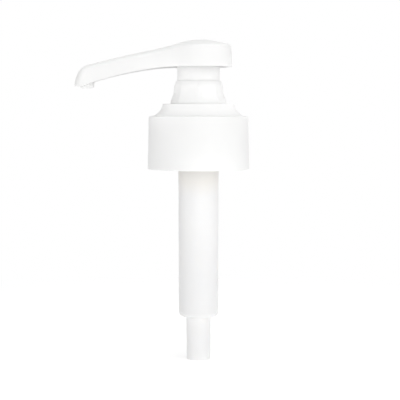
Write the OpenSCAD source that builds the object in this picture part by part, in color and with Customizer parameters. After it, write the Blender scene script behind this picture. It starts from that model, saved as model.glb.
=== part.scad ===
// Syrup pump with a lock-down head, for a bottle with a 38 mm screw neck.
// All sizes are in millimetres. The pump stands along +Z, and its spout points along -X.
// The origin is on the pump's axis, in the plane where the bottle's lip meets the neck gasket.
// The head is drawn pressed down and locked, which is the lowest point of its travel.

/* [Pump barrel] */
// Bore that the piston runs in
barrel_bore_d = 15.6; // [14.6:0.1:16]
// Wall of the barrel at the neck gasket
barrel_top_wall = 1; // [0.8:0.05:1.6]
// Wall of the barrel just above its rounded bottom
barrel_low_wall = 0.8; // [0.6:0.05:1]
// Length of the barrel from the gasket's underside to its bottom
barrel_len = 81.2; // [78:0.2:92]
// Thickness of the barrel's floor
floor_t = 1.5; // [1.2:0.1:2.4]
// Radius of the barrel's bottom edge
barrel_edge_r = 2.2; // [1:0.1:2.6]
// How far the barrel's flange stays inside the gasket's edge
flange_inset = 0.4; // [0.2:0.1:2]
// Thickness of the barrel's flange
flange_t = 1.5; // [1.2:0.1:2]
// Wall of the barrel's neck above the flange
barrel_neck_wall = 2.1; // [1.6:0.1:2.4]
// Diameter of the air vent in the barrel's wall
vent_d = 1.6; // [1:0.1:2]

/* [Inlet] */
// Wall of the dip tube socket at its root
socket_root_wall = 1.4; // [1.2:0.05:2]
// Wall of the dip tube socket at its mouth
socket_mouth_wall = 1.15; // [0.8:0.05:1.4]
// Length of the dip tube socket
socket_len = 19; // [14:0.5:24]
// Bore of the socket, which takes the dip tube
socket_bore_d = 8; // [7:0.1:8.4]
// Length of the solid stop above the socket's bore
socket_stop = 3; // [2:0.1:6]
// Diameter of the inlet hole under the ball
inlet_d = 4.4; // [3.6:0.1:5]
// Diameter of the inlet ball
inlet_ball_d = 6; // [5.4:0.1:6.8]
// Lift of the inlet ball
inlet_lift = 2.5; // [1.5:0.1:3]
// Wall of the ball cage
cage_wall = 0.9; // [0.7:0.05:1.1]
// Thickness of the ball cage's base, where the spring sits
cage_base_t = 1.5; // [1:0.1:2]
// Width of the slots in the ball cage
cage_slot_w = 3; // [2:0.1:4]

/* [Return spring] */
// How far the spring stays inside the edge of the piston's discs
spring_inset = 0.3; // [0.1:0.05:0.6]
// Diameter of the spring's wire
spring_wire_d = 0.9; // [0.7:0.05:1]
// Length of the spring with the head locked down
spring_shut_len = 18; // [17:0.2:22]
// Number of turns in the spring
spring_turns = 8; // [6:1:9]

/* [Plunger] */
// Travel of the plunger from locked down to fully up
stroke = 52; // [44:0.5:55]
// Outside diameter of the stem
stem_d = 9; // [8.4:0.1:9.4]
// Bore of the stem
stem_bore_d = 6; // [5:0.1:6.4]
// Narrow bore at the top of the stem, where the outlet ball sits
outlet_d = 4.2; // [3.2:0.1:4.8]
// Diameter of the outlet ball
outlet_ball_d = 5.6; // [5:0.1:6.4]
// Lift of the outlet ball
outlet_lift = 2; // [1:0.1:2.4]
// Length of the piston
piston_len = 7; // [6.4:0.1:8]
// Gap between the barrel and the edge of the piston's end discs
piston_disc_gap = 0.8; // [0.5:0.05:1]
// Thickness of the piston's end discs
piston_disc_t = 1.4; // [1:0.1:1.6]
// Wall of the piston's core, between the stem's bead and the cup seal
piston_core_wall = 0.9; // [0.6:0.05:1.1]

/* [Head and spout] */
// Diameter of the pump head
head_d = 29; // [27:0.5:31]
// Height of the head's straight side band, up to its dome
head_band_h = 8.4; // [7:0.1:9]
// Rise of the dome over the side band
head_dome_h = 3.3; // [2.4:0.1:4]
// Radius of the head's upper edge
head_edge_r = 1.6; // [1:0.1:2]
// Wall of the head and the spout
head_wall = 1.6; // [1.2:0.1:1.8]
// Distance from the pump's axis to the tip of the spout
spout_reach = 54.8; // [50:0.2:62]
// Distance from the spout's tip back to the nozzle's axis
nozzle_back = 6.4; // [6:0.1:8]
// Drop of the spout's root below the top of the dome
spout_root_drop = 2.6; // [2:0.1:3.4]
// Fall of the spout's top from its root to its shoulder
spout_fall = 8.4; // [7:0.1:9]
// Radius of the spout's long top curve
spout_top_r = 515; // [300:5:800]
// Radius of the crown across the spout's top
spout_crown_r = 16; // [12:0.5:24]
// Radius of the spout's long lower curve
spout_under_r = 120; // [100:1:200]
// Fall of the spout's lower edge from the head to the nozzle
spout_under_fall = 6.6; // [6:0.1:7]
// Radius of the spout's tip seen from the side
spout_tip_r = 11.6; // [10.6:0.1:12.4]
// Drop of the spout's lip below the head's underside
spout_lip_drop = 8.8; // [8:0.1:9.4]
// Width of the spout at its root
spout_root_w = 17; // [14:0.2:20]
// Gap between the nozzle and the spout's side walls
nozzle_side_gap = 0.6; // [0.4:0.05:1.2]
// Outside diameter of the flow tube in the spout
tube_d = 4.6; // [4.2:0.1:4.8]
// Bore of the flow tube
tube_bore_d = 3.2; // [2.8:0.1:3.4]
// Radius of the flow tube's bend
tube_bend_r = 4.5; // [3.8:0.1:5]
// Wall of the nozzle round the flow tube
nozzle_wall = 0.3; // [0.25:0.05:0.5]
// How far the nozzle stands below the spout's lip
nozzle_proud = 1.1; // [0.6:0.1:2]

/* [Lock] */
// Diameter of the hub under the head
hub_d = 18.5; // [18.3:0.1:18.7]
// Gap between the locked head and the collar
hub_show = 6.1; // [4:0.1:8]
// Depth of the hub inside the collar
hub_depth = 5.9; // [5.4:0.1:6.2]
// Depth of the locking groove in the hub
lock_groove_depth = 0.9; // [0.7:0.05:1]
// Width of a lug in the collar
lug_w = 5; // [3:0.2:7]
// Height of a lug in the collar
lug_h = 1.3; // [1:0.1:1.5]

/* [Collar] */
// Height of the collar above the closure
collar_h = 9.75; // [9.4:0.05:11]
// Wall of the collar below its chamfer
collar_wall = 1.25; // [1.1:0.05:2]
// Flare of the collar from its chamfer out to its foot
collar_flare = 1.45; // [1:0.05:2.4]
// Height of the chamfer at the collar's top
collar_chamfer = 1.8; // [1:0.1:2.4]
// Number of grip ribs on the collar
rib_count = 8; // [4:1:16]
// Width of a grip rib
rib_w = 1.1; // [0.6:0.1:2]
// Height of a grip rib over the collar's surface
rib_proud = 0.45; // [0.2:0.05:0.8]
// Wall of the collar's plug round the stem guide
plug_wall = 1.55; // [1:0.05:1.7]
// Thickness of the stem wiper
wiper_t = 1.4; // [1:0.1:1.8]

/* [Closure and cap] */
// Depth of the cap below the bottle's lip
skirt_drop = 17; // [14:0.2:22]
// Thickness of the closure's plate, between the barrel's flange and the outer cap
plate_t = 1.75; // [1.2:0.05:3]
// Wall of the closure behind its thread
closure_wall = 1.1; // [0.8:0.05:2]
// Wall of the outer cap at its top
cap_top_wall = 1.45; // [1:0.05:2.5]
// Wall of the outer cap at its rim
cap_rim_wall = 2; // [1.5:0.05:3]
// Thickness of the outer cap's top
cap_top_t = 1.6; // [1.2:0.1:2]
// Radius of the outer cap's edges
cap_edge_r = 0.7; // [0.3:0.1:0.9]
// Width of the ledge on the closure that lifts the outer cap
cap_ledge = 1.25; // [0.8:0.05:2]
// Width of the shoulder's flare
shoulder_flare = 3.5; // [2:0.1:4]
// Height of the shoulder above the outer cap
shoulder_h = 5.8; // [5:0.1:7]
// Height of the upright step at the shoulder's foot
shoulder_step = 0.5; // [0.3:0.1:1]
// Diameter at the root of the closure's thread
thread_root_d = 37.9; // [37.6:0.1:38.4]
// Height of the closure's thread
thread_h = 1.05; // [0.7:0.05:1.3]
// Pitch of the closure's thread, 6 turns to the inch
thread_pitch = 4.23; // [3.8:0.01:4.6]
// Turns of the closure's thread
thread_turns = 1.6; // [1:0.1:2.4]
// Thickness of the neck gasket
gasket_t = 1.5; // [1:0.1:2]
// Gap between the neck gasket and the thread's crests
gasket_gap = 0.7; // [0.4:0.05:2]

/* [Fits] */
// Gap between pieces that run on each other
run_gap = 0.15; // [0.1:0.05:0.2]
// Radial gap of a close sliding fit
slide_gap = 0.05; // [0.03:0.01:0.08]
// Radial gap of a piece that is pressed in
press_gap = 0.02; // [0.01:0.01:0.04]
// Gap between the closure's shoulder and the collar's foot
foot_gap = 0.35; // [0.3:0.05:0.5]
// Free room around loosely fitted pieces
free_gap = 0.3; // [0.25:0.05:0.4]

/* [Hidden] */
$fn = 96;
arc_fn = 144;
long_curve_fn = 1440;
long_curve_r = 50;
white = "#f4f4f1";
milky = "#f1efe9";
clear_white = "#e9e9e4";
rubber_grey = "#c9c8c2";
steel = "#b9bcc0";
bite = 0.5;

// Small details of the head and the hub
head_inner_edge_r = 0.4;
hub_rise = 2;
hub_wall = 3;
hub_roof_t = 1;
boss_wall = 1.4;
chamber_play = 0.2;
retainer_t = 1;
retainer_ledge = 0.7;
retainer_hole_d = 2.2;
retainer_hole_r = 2.4;
ball_room = 0.5;
tube_room = 0.4;
tube_entry = 2.1;
tube_corner_drop = 2.6;
elbow_lap = 0.4;
elbow_extra = 0.15;

// Small details of the stem and the piston, as heights from the stem's foot or from a lip's edge
seat_h = 1.6;
seat_cone_h = 0.8;
bead_h = 0.35;
bead_low = 1.2;
bead_full = 1.7;
bead_over = 2.2;
bead_end = 2.4;
bead_play = 0.1;
piston_floor_t = 1;
lip_lead = 0.3;
lip_end = 0.8;
waist_start = 1.4;
waist_depth = 0.5;

// Small details of the collar, the shoulder, the cage, the thread and the spring
collar_foot_h = 0.6;
collar_lip_t = 0.45;
collar_flare_r = 24;
rib_inset = 0.1;
wiper_ledge = 0.4;
shoulder_flare_r = 7;
shoulder_wall = 1.4;
cage_sill = 0.6;
z_thread = -2.6;
thread_steps = 36;
thread_fade = 4;
thread_end = 0.02;
spring_rings = 8;
lug_rise = 2.6;
lock_play = 0.4;

// Heights of the closure and the collar
z_rim = -skirt_drop;
z_flange = gasket_t;
z_flange_top = z_flange + flange_t;
z_plate = z_flange_top + run_gap;
z_ledge = z_plate + plate_t;
z_cap_top = z_ledge + cap_top_t;
z_shoulder_top = z_cap_top + shoulder_h;
z_collar = z_shoulder_top + foot_gap;
z_collar_top = z_collar + collar_h;

// Heights of the head
z_head = z_collar_top + hub_show;
z_band_top = z_head + head_band_h;
z_head_top = z_band_top + head_dome_h;
z_hub = z_collar_top - hub_depth;
z_lip = z_head - spout_lip_drop;

// Heights of the inlet valve, the spring and the piston
z_bottom = -barrel_len;
z_floor = z_bottom + floor_t;
z_mouth = z_bottom - socket_len;
inlet_seat_h = sqrt(pow(inlet_ball_d / 2, 2) - pow(inlet_d / 2, 2));
z_inlet_ball = z_floor + inlet_seat_h + run_gap;
z_cage_roof = z_inlet_ball + inlet_ball_d / 2 + inlet_lift + run_gap;
z_spring = z_floor + cage_base_t;
z_piston = z_spring + spring_shut_len;
z_piston_top = z_piston + piston_len;
z_guide = z_piston_top + stroke + free_gap;

// Heights inside the collar
z_collar_floor = z_hub - free_gap;
z_wiper = z_collar_floor - wiper_t;
z_vent = z_piston + stroke + piston_len / 2;
z_stem_foot = z_piston + piston_disc_t + piston_floor_t;
z_hub_shoulder = z_head + hub_rise;

// Diameters of the barrel, its socket and what runs in it
barrel_top_d = barrel_bore_d + 2 * barrel_top_wall;
barrel_low_d = barrel_bore_d + 2 * barrel_low_wall;
barrel_neck_d = barrel_bore_d + 2 * barrel_neck_wall;
socket_root_d = socket_bore_d + 2 * socket_root_wall;
socket_mouth_d = socket_bore_d + 2 * socket_mouth_wall;
piston_disc_d = barrel_bore_d - 2 * piston_disc_gap;
piston_core_d = stem_d + 2 * (bead_h + slide_gap + piston_core_wall);
spring_d = piston_disc_d - 2 * spring_inset - spring_wire_d;
guide_d = barrel_bore_d - 2 * (slide_gap + plug_wall);

// Diameters of the collar and the nozzle, and the width of the spout's tip
collar_top_d = hub_d + 2 * (run_gap + collar_wall);
collar_foot_d = collar_top_d + 2 * collar_flare;
nozzle_d = tube_d + 2 * nozzle_wall;
spout_tip_w = nozzle_d + 2 * (nozzle_side_gap + head_wall);

// Diameters of the outer cap, the shoulder, the gasket and the flange, all from the thread
closure_d = thread_root_d + 2 * closure_wall;
cap_bore_d = closure_d + 2 * run_gap;
cap_top_d = cap_bore_d + 2 * cap_top_wall;
cap_rim_d = cap_bore_d + 2 * cap_rim_wall;
shoulder_foot_d = closure_d - 2 * cap_ledge;
shoulder_top_d = shoulder_foot_d - 2 * shoulder_flare;
gasket_d = thread_root_d - 2 * (thread_h + gasket_gap);
flange_d = gasket_d - 2 * flange_inset;

// Radii of the pieces that fit each other
r_bore = barrel_bore_d / 2;
r_stem = stem_d / 2;
r_plug = r_bore - slide_gap;
r_hub = hub_d / 2;
r_collar_bore = r_hub + run_gap;
r_lock = r_hub - lock_groove_depth;
r_lug = r_lock + free_gap;
r_ball_room = outlet_ball_d / 2 + ball_room;
r_retainer = r_ball_room + retainer_ledge;
r_boss = r_retainer + hub_wall;
r_bead = r_stem + bead_h;
r_cage_room = inlet_ball_d / 2 + ball_room;
r_cage = r_cage_room + cage_wall;
r_wiper = guide_d / 2 - wiper_ledge;
r_closure_bore = barrel_neck_d / 2 + free_gap;
r_tube = tube_d / 2;

// Lugs of the collar, in the middle of the hub's locking groove
z_lug = z_hub + lug_rise;

// Heights in the hub, from the dome's inner face down to the stem's top
dome_in_r = dome_radius(head_wall);
z_dome_in = z_head_top - head_wall - dome_in_r + sqrt(dome_in_r * dome_in_r - r_boss * r_boss);
z_hub_top = z_dome_in - free_gap;
tube_start_z = z_hub_top - hub_roof_t - tube_room - r_tube;
z_chamber = tube_start_z - r_tube - chamber_play;
z_retainer = z_chamber - retainer_t;
z_outlet_ball = z_retainer - run_gap - outlet_lift - outlet_ball_d / 2;
outlet_seat_h = sqrt(pow(outlet_ball_d / 2, 2) - pow(outlet_d / 2, 2));
z_stem_top = z_outlet_ball - outlet_seat_h - run_gap;

// Side outline of the spout, from three arcs
spout_root_x = 12.5;
spout_join_x = 5;
spout_shoulder_back = 5.3;
spout_under_back = 2.9;
nozzle_reach = spout_reach - nozzle_back;
spout_root_z = z_head_top - spout_root_drop;
spout_shoulder_z = spout_root_z - spout_fall;
spout_shoulder_x = spout_reach - spout_shoulder_back;
spout_under_x = nozzle_reach - spout_under_back;
tip_centre = [-spout_reach + spout_tip_r, z_lip];
top_centre = arc_centre([-spout_shoulder_x, spout_shoulder_z], [-spout_root_x, spout_root_z], spout_top_r);
under_centre = arc_centre([-spout_under_x, z_head - spout_under_fall], [-spout_root_x, z_head],
    spout_under_r);

// Course of the flow tube on the plane y = 0: a sloping run, an elbow and an upright tail
tube_start_x = r_boss - tube_entry;
tube_corner_z = spout_shoulder_z - head_wall - tube_corner_drop;
tube_slope = atan((tube_start_z - tube_corner_z) / (nozzle_reach - tube_start_x));
tube_turn = 90 - tube_slope;
tube_tangent = tube_bend_r * tan(tube_turn / 2);
tube_run = (nozzle_reach - tube_start_x) / cos(tube_slope) - tube_tangent;
z_tube_end = tube_corner_z - tube_tangent;
z_nozzle = z_lip - nozzle_proud;
tube_tail = (z_tube_end - z_nozzle) / 2;

// Radius of the head's dome, drawn in by a distance, and of its edge
function edge_radius(inset) = max(head_edge_r - inset, head_inner_edge_r);
function dome_radius(inset) = let (flat = head_d / 2 - inset - edge_radius(inset))
    (flat * flat + head_dome_h * head_dome_h) / (2 * head_dome_h);

// Centre of an arc of radius r from point a to point b, with its centre below them
function arc_centre(a, b, r) = let (
    mid = (a + b) / 2,
    half = norm(b - a) / 2,
    along = (b - a) / norm(b - a),
    down = [along[1], -along[0]]
) mid + down * sqrt(r * r - half * half);

// Points of an arc about centre c, from angle a0 to angle a1
function arc_points(c, r, a0, a1, steps) =
    [for (i = [0 : steps]) let (a = a0 + (a1 - a0) * i / steps) c + r * [cos(a), sin(a)]];

// A solid of revolution of a profile given as [radius, height] points
module turned(points) {
    rotate_extrude()
        polygon(points);
}

// A tube between two heights
module tube(outer, inner, z0, z1) {
    difference() {
        translate([0, 0, z0])
            cylinder(r = outer, h = z1 - z0);
        translate([0, 0, z0 - bite])
            cylinder(r = inner, h = z1 - z0 + 2 * bite);
    }
}

// Two facing blocks of a ring, at each end of the X axis
module ring_blocks(outer, inner, width, z0, z1) {
    intersection() {
        tube(outer, inner, z0, z1);
        translate([-outer - bite, -width / 2, z0 - bite])
            cube([2 * (outer + bite), width, z1 - z0 + 2 * bite]);
    }
}

// A cylinder along Y, for the curved sides of the spout
module roller(centre, r) {
    translate([centre[0], 0, centre[1]])
        rotate([90, 0, 0])
            cylinder(r = r, h = 2 * head_d, center = true, $fn = r > long_curve_r ? long_curve_fn : arc_fn);
}

// The head's domed body, drawn in from its outer faces by a distance
module head_dome(inset) {
    r = head_d / 2 - inset;
    edge = edge_radius(inset);
    z_band = z_band_top - inset;
    flat = r - edge;
    dome_r = dome_radius(inset);
    dome_angle = asin(flat / dome_r);
    z_low = inset > 0 ? z_head - bite : z_head;
    turned(concat(
        [[0, z_low], [r, z_low]],
        arc_points([flat, z_band - edge], edge, 0, 90 - dome_angle, 4),
        [for (i = [5 : -1 : 0]) let (a = dome_angle * i / 6)
            [dome_r * sin(a), z_band + head_dome_h - dome_r * (1 - cos(a))]]
    ));
}

// A long bar along the spout, curved along its length and crowned across it
module crowned_bar(r) {
    middle = 90 + atan(spout_fall / (spout_shoulder_x - spout_root_x));
    sweep = spout_reach / spout_top_r * 90;
    translate([top_centre[0], 0, top_centre[1]])
        rotate([90, -middle + sweep / 2, 0])
            rotate_extrude(angle = sweep, $fn = long_curve_fn)
                translate([spout_top_r - spout_crown_r, 0])
                    circle(r = r);
}

// The spout's outline seen from above, drawn in by a distance
module spout_plan(inset) {
    tip_r = spout_tip_w / 2 - inset;
    root_w = spout_root_w / 2 - inset;
    tip_x = -spout_reach + spout_tip_w / 2;
    lean = asin((root_w - tip_r) / norm([tip_x + spout_join_x, root_w - tip_r]));
    translate([0, 0, z_lip - bite])
        linear_extrude(height = z_head_top - z_lip + 2 * bite) {
            polygon(concat([[-spout_join_x, root_w]],
                arc_points([tip_x, 0], tip_r, 90 + lean, 270 - lean, 16),
                [[-spout_join_x, -root_w]]));
        }
}

// The spout, drawn in from its outer faces by a distance
module spout_body(inset) {
    intersection() {
        spout_plan(inset);
        crowned_bar(spout_crown_r - inset);
        union() {
            roller(tip_centre, spout_tip_r - inset);
            translate([tip_centre[0], -head_d, z_lip - 2 * bite])
                cube([spout_reach, 2 * head_d, z_head_top - z_lip + 3 * bite]);
        }
    }
}

// Outer form of the head with its spout, cut along the spout's lower edge
module head_form() {
    head_dome(0);
    difference() {
        spout_body(0);
        roller(under_centre, spout_under_r);
        translate([-spout_reach - bite, -head_d, z_lip - 2 * bite])
            cube([2 * spout_reach, 2 * head_d, 2 * bite]);
    }
}

module pump_head() {
    color(white) {
        difference() {
            head_form();
            head_dome(head_wall);
            spout_body(head_wall);
        }
        // Socket that takes the hub's boss, open towards the spout
        difference() {
            intersection() {
                tube(r_boss + press_gap + boss_wall, r_boss + press_gap, z_hub_shoulder, z_head_top);
                head_dome(head_wall / 2);
            }
            translate([-head_d, -r_tube - tube_room, z_hub_shoulder - bite])
                cube([head_d, tube_d + 2 * tube_room, z_hub_top - z_hub_shoulder + bite]);
        }
    }
}

// Cross-section of the flow tube, with its wall thickened on both sides by an extra
module tube_ring(extra) {
    difference() {
        circle(r = r_tube + extra);
        circle(d = tube_bore_d - 2 * extra);
    }
}

// Sloping run and upright tail, both let into a slightly thicker elbow
module spout_tube() {
    color(white) {
        translate([-tube_start_x, 0, tube_start_z])
            rotate([0, -90 - tube_slope, 0])
                linear_extrude(height = tube_run + elbow_lap)
                    tube_ring(0);
        translate([-nozzle_reach + tube_bend_r, 0, z_tube_end])
            rotate([90, 0, 180])
                rotate_extrude(angle = tube_turn)
                    translate([tube_bend_r, 0])
                        tube_ring(elbow_extra);
        translate([-nozzle_reach, 0, z_tube_end - tube_tail])
            linear_extrude(height = tube_tail + elbow_lap)
                tube_ring(0);
    }
}

module nozzle_tip() {
    color(white)
        translate([-nozzle_reach, 0, 0])
            difference() {
                translate([0, 0, z_nozzle])
                    cylinder(d = nozzle_d, h = z_tube_end - z_nozzle);
                translate([0, 0, z_tube_end - tube_tail])
                    cylinder(r = r_tube + press_gap, h = tube_tail + bite);
                translate([0, 0, z_nozzle - bite])
                    cylinder(d = tube_bore_d, h = z_tube_end - z_nozzle);
            }
}

module lock_hub() {
    color(white)
        difference() {
            union() {
                translate([0, 0, z_hub])
                    cylinder(r = r_hub, h = z_hub_shoulder - z_hub);
                translate([0, 0, z_hub_shoulder])
                    cylinder(r = r_boss, h = z_hub_top - z_hub_shoulder);
            }
            // Stem socket, ball room, retainer seat and flow chamber
            translate([0, 0, z_hub - bite])
                cylinder(r = r_stem + press_gap, h = z_stem_top - z_hub + bite);
            translate([0, 0, z_stem_top - bite])
                cylinder(r = r_ball_room, h = z_retainer - z_stem_top + bite);
            translate([0, 0, z_retainer])
                cylinder(r = r_retainer, h = z_hub_top - z_retainer - hub_roof_t);
            // Port for the flow tube
            translate([0, 0, tube_start_z + tube_start_x * tan(tube_slope)])
                rotate([0, -90 - tube_slope, 0])
                    cylinder(r = r_tube + press_gap, h = 2 * r_boss);
            // Locking groove and the two ways into it
            tube(r_hub + bite, r_lock, z_lug - lock_play, z_lug + lug_h + lock_play);
            ring_blocks(r_hub + bite, r_lock, lug_w + 2 * lock_play, z_hub - bite, z_lug);
        }
}

module outlet_ball_retainer() {
    color(milky)
        difference() {
            translate([0, 0, z_retainer])
                cylinder(r = r_retainer - press_gap, h = retainer_t);
            for (a = [0 : 120 : 240])
                rotate(a)
                    translate([retainer_hole_r, 0, z_retainer - bite])
                        cylinder(d = retainer_hole_d, h = retainer_t + 2 * bite);
        }
}

module outlet_ball() {
    color(steel)
        translate([0, 0, z_outlet_ball])
            sphere(d = outlet_ball_d);
}

module plunger_stem() {
    color(milky)
        turned([
            [stem_bore_d / 2, z_stem_foot],
            [r_stem, z_stem_foot],
            [r_stem, z_stem_foot + bead_low],
            [r_bead, z_stem_foot + bead_full],
            [r_bead, z_stem_foot + bead_over],
            [r_stem, z_stem_foot + bead_end],
            [r_stem, z_stem_top],
            [outlet_d / 2, z_stem_top],
            [outlet_d / 2, z_stem_top - seat_h],
            [stem_bore_d / 2, z_stem_top - seat_h - seat_cone_h]
        ]);
}

module piston_core() {
    z0 = z_piston + piston_disc_t;
    z_disc = z_piston_top - piston_disc_t;
    r_in = r_stem + slide_gap;
    r_groove = r_bead + slide_gap;
    color(milky)
        turned([
            [stem_bore_d / 2, z0],
            [piston_core_d / 2, z0],
            [piston_core_d / 2, z_disc],
            [piston_disc_d / 2, z_disc],
            [piston_disc_d / 2, z_piston_top],
            [r_in, z_piston_top],
            [r_in, z_stem_foot + bead_end + bead_play],
            [r_groove, z_stem_foot + bead_over + bead_play],
            [r_groove, z_stem_foot + bead_full - bead_play],
            [r_in, z_stem_foot + bead_low - bead_play],
            [r_in, z_stem_foot - slide_gap],
            [stem_bore_d / 2, z_stem_foot - slide_gap]
        ]);
}

module piston_retainer() {
    color(milky)
        tube(piston_disc_d / 2, stem_bore_d / 2, z_piston, z_piston + piston_disc_t);
}

module piston_seal() {
    z0 = z_piston + piston_disc_t;
    z1 = z_piston_top - piston_disc_t;
    r_in = piston_core_d / 2 + press_gap;
    r_lip = r_bore - slide_gap;
    color(rubber_grey)
        turned([
            [r_in, z0],
            [piston_disc_d / 2, z0],
            [r_lip, z0 + lip_lead],
            [r_lip, z0 + lip_end],
            [r_lip - waist_depth, z0 + waist_start],
            [r_lip - waist_depth, z1 - waist_start],
            [r_lip, z1 - lip_end],
            [r_lip, z1 - lip_lead],
            [piston_disc_d / 2, z1],
            [r_in, z1]
        ]);
}

// The collar's outer form, swollen by a distance for its grip ribs
module collar_form(swell, z_top) {
    foot = [collar_foot_d / 2, z_collar + collar_foot_h];
    neck = [collar_top_d / 2, z_collar_top - collar_chamfer];
    centre = arc_centre(foot, neck, collar_flare_r);
    start = atan2(foot[1] - centre[1], foot[0] - centre[0]);
    end = atan2(neck[1] - centre[1], neck[0] - centre[0]);
    intersection() {
        turned(concat(
            [[0, z_collar], [foot[0], z_collar]],
            [for (p = arc_points(centre, collar_flare_r, start, end > 0 ? end - 360 : end, 8))
                p + [swell, 0]],
            [[r_collar_bore + collar_lip_t + swell, z_collar_top], [0, z_collar_top]]
        ));
        translate([0, 0, z_collar])
            cylinder(d = 2 * collar_foot_d, h = z_top - z_collar);
    }
}

module locking_collar() {
    color(white) {
        difference() {
            union() {
                collar_form(0, z_collar_top);
                translate([0, 0, z_guide])
                    cylinder(r = r_plug, h = z_collar - z_guide + bite);
                // Upright grip ribs
                intersection() {
                    collar_form(rib_proud, z_collar_top - collar_chamfer);
                    for (i = [0 : rib_count - 1])
                        rotate(i * 360 / rib_count - 90)
                            translate([0, -rib_w / 2, z_collar + collar_foot_h])
                                cube([collar_foot_d / 2 - rib_inset, rib_w, collar_h]);
                }
            }
            translate([0, 0, z_collar_floor])
                cylinder(r = r_collar_bore, h = z_collar_top - z_collar_floor + bite);
            translate([0, 0, z_wiper - bite])
                cylinder(r = r_wiper + press_gap, h = wiper_t + 2 * bite);
            translate([0, 0, z_guide - bite])
                cylinder(r = guide_d / 2 + press_gap, h = z_wiper - z_guide + bite);
        }
        // Two lugs that stand in the hub's locking groove
        ring_blocks(r_collar_bore + bite, r_lug, lug_w, z_lug, z_lug + lug_h);
    }
}

module stem_guide() {
    color(milky)
        tube(guide_d / 2, r_stem + slide_gap, z_guide, z_wiper);
}

module stem_wiper() {
    r_in = r_stem + slide_gap;
    color(rubber_grey)
        turned([
            [(r_in + r_wiper) / 2, z_wiper],
            [r_wiper, z_wiper],
            [r_wiper, z_collar_floor],
            [r_in, z_collar_floor],
            [r_in, z_collar_floor - wiper_t / 2]
        ]);
}

module outer_cap() {
    r_top = cap_top_d / 2;
    r_rim = cap_rim_d / 2;
    r_hole = shoulder_foot_d / 2 + run_gap;
    e = cap_edge_r;
    color(white)
        turned(concat(
            [[cap_bore_d / 2, z_rim]],
            arc_points([r_rim - e, z_rim + e], e, -90, 0, 4),
            arc_points([r_top - e, z_cap_top - e], e, 0, 90, 4),
            [[r_hole, z_cap_top], [r_hole, z_ledge], [cap_bore_d / 2, z_ledge]]
        ));
}

module threaded_closure() {
    foot = [shoulder_foot_d / 2, z_cap_top + shoulder_step];
    top = [shoulder_top_d / 2, z_shoulder_top];
    centre = arc_centre(foot, top, shoulder_flare_r);
    start = atan2(foot[1] - centre[1], foot[0] - centre[0]);
    end = atan2(top[1] - centre[1], top[0] - centre[0]);
    z_low = z_rim + free_gap;
    color(white)
        union() {
            difference() {
                turned(concat(
                    [[0, z_low], [closure_d / 2, z_low], [closure_d / 2, z_ledge], [foot[0], z_ledge]],
                    arc_points(centre, shoulder_flare_r, start, end > 0 ? end - 360 : end, 10),
                    [[0, z_shoulder_top]]
                ));
                translate([0, 0, z_low - bite])
                    cylinder(d = thread_root_d, h = z_plate - z_low + bite);
                translate([0, 0, z_plate - bite])
                    cylinder(r = r_closure_bore, h = z_shoulder_top - z_plate + 2 * bite);
                // Ring-shaped core under the shoulder, which keeps its wall even
                tube(shoulder_top_d / 2 - shoulder_wall, r_closure_bore + shoulder_wall,
                    z_plate - bite, z_shoulder_top - shoulder_wall);
            }
            neck_thread();
        }
}

// Screw thread inside the closure, as one swept rib that fades out at both ends
module neck_thread() {
    steps = round(thread_turns * thread_steps);
    sink = closure_wall / 3;
    r_root = thread_root_d / 2;
    function fade(i) = min(1, i / thread_fade, (steps - i) / thread_fade);
    function ring(i) = let (
        a = 360 * i / thread_steps,
        z = z_thread - thread_pitch * i / thread_steps,
        r = r_root - thread_h * max(fade(i), thread_end),
        half = thread_pitch / 4,
        tip = thread_pitch / 9
    ) [for (p = [[r_root + sink, z + half], [r, z + tip], [r, z - tip], [r_root + sink, z - half]])
        [p[0] * cos(a), p[0] * sin(a), p[1]]];
    points = [for (i = [0 : steps]) each ring(i)];
    sides = [for (i = [0 : steps - 1], k = [0 : 3]) let (a = 4 * i + k, b = 4 * i + (k + 1) % 4)
        each [[a, b, b + 4], [a, b + 4, a + 4]]];
    last = 4 * steps;
    polyhedron(points, concat(sides,
        [[0, 2, 1], [0, 3, 2], [last, last + 1, last + 2], [last, last + 2, last + 3]]));
}

module neck_gasket() {
    color(rubber_grey)
        tube(gasket_d / 2, barrel_top_d / 2 + free_gap, 0, gasket_t);
}

module pump_barrel() {
    r_low = barrel_low_d / 2;
    z_step = z_bottom - socket_stop;
    e = barrel_edge_r;
    color(clear_white)
        difference() {
            turned(concat(
                [[socket_bore_d / 2, z_mouth], [socket_mouth_d / 2, z_mouth], [socket_root_d / 2, z_bottom]],
                arc_points([r_low - e, z_bottom + e], e, -90, 0, 6),
                [[barrel_top_d / 2, 0], [barrel_top_d / 2, z_flange], [flange_d / 2, z_flange],
                    [flange_d / 2, z_flange_top], [barrel_neck_d / 2, z_flange_top],
                    [barrel_neck_d / 2, z_collar], [r_bore, z_collar], [r_bore, z_floor],
                    [inlet_d / 2, z_floor], [inlet_d / 2, z_step], [socket_bore_d / 2, z_step]]
            ));
            // Air vent, which the raised piston covers
            translate([0, 0, z_vent])
                rotate([-90, 0, 0])
                    cylinder(d = vent_d, h = barrel_top_d);
        }
}

module inlet_ball_cage() {
    color(milky)
        difference() {
            union() {
                translate([0, 0, z_floor])
                    cylinder(r = r_bore - slide_gap, h = cage_base_t);
                translate([0, 0, z_floor])
                    cylinder(r = r_cage, h = z_cage_roof - z_floor + cage_wall);
            }
            translate([0, 0, z_floor - bite])
                cylinder(r = r_cage_room, h = z_cage_roof - z_floor + bite);
            // Crossed slots that let the syrup past the ball
            for (a = [0, 90])
                rotate(a)
                    translate([-r_cage - bite, -cage_slot_w / 2, z_spring + cage_sill])
                        cube([2 * (r_cage + bite), cage_slot_w, z_cage_roof - z_spring - cage_sill]);
            translate([0, 0, z_cage_roof - bite])
                cylinder(d = cage_slot_w, h = cage_wall + 2 * bite);
        }
}

module inlet_ball() {
    color(steel)
        translate([0, 0, z_inlet_ball])
            sphere(d = inlet_ball_d);
}

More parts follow.
